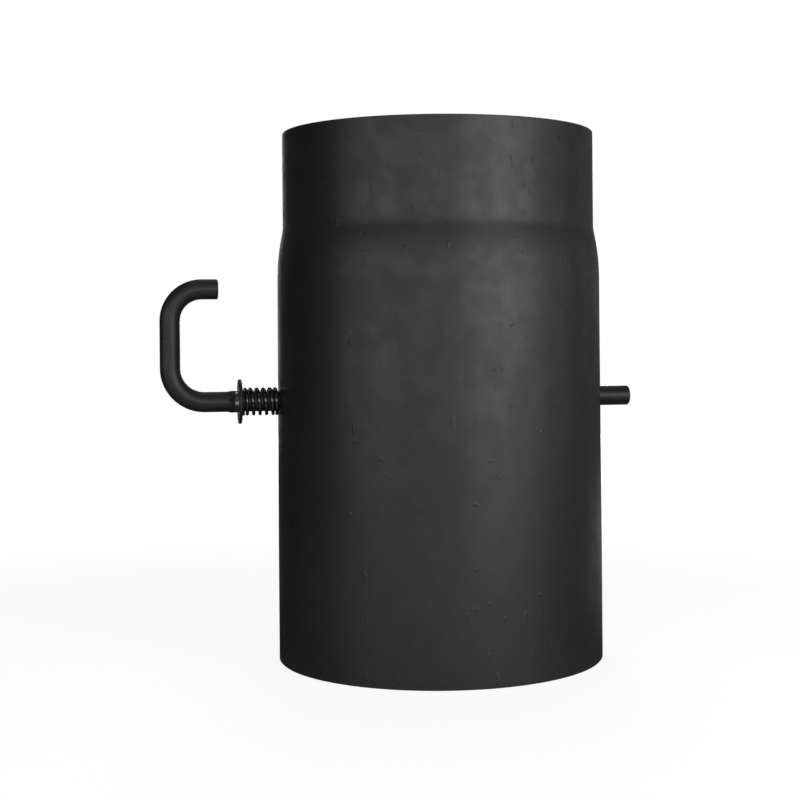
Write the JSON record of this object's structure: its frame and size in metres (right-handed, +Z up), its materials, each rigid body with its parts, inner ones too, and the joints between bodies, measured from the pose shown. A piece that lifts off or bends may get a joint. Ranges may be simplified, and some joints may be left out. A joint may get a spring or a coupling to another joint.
{
  "type": "stove pipe damper",
  "caption": "Short black steel flue pipe section with a drawn-in upper end and a built-in butterfly damper, turned by a sprung rod bent into a C-shaped handle.",
  "frame": {"origin": "centre of the open lower end, on the pipe's axis", "axes": "+Z up the flue towards the spigot, +X along the rod away from the handle, -Y towards the viewer of the picture"},
  "size_m": [0.2276, 0.1553, 0.25],
  "materials": {
    "pipe_paint": "matt black heat-resistant paint with a fine grain",
    "rod_paint": "satin black paint on bent bar",
    "spring_steel": "blackened spring steel with a soft gloss",
    "disc_paint": "matt black heat-resistant paint",
    "fastener_steel": "dark phosphated steel"
  },
  "bodies": {
    "pipe": {"pipe_body": "pipe_paint", "rod_spring": "spring_steel"},
    "rod_carriage": {"retaining_washer": "rod_paint"},
    "damper": {"handle_rod": "rod_paint", "damper_disc": "disc_paint", "disc_bolt_left": "fastener_steel", "disc_bolt_right": "fastener_steel", "disc_nut_left": "fastener_steel", "disc_nut_right": "fastener_steel"}
  },
  "joints": [
    {"name": "rod_push", "type": "slide", "parent": "pipe", "child": "rod_carriage", "axis": [1, 0, 0], "range_m": [0, 0.0025], "stiffness_N_per_m": 13800, "springref_m": -0.0035, "deforming": ["rod_spring"]},
    {"name": "damper_turn", "type": "hinge", "parent": "rod_carriage", "child": "damper", "pos_m": [0, 0, 0.1231], "axis": [1, 0, 0], "continuous": true}
  ]
}
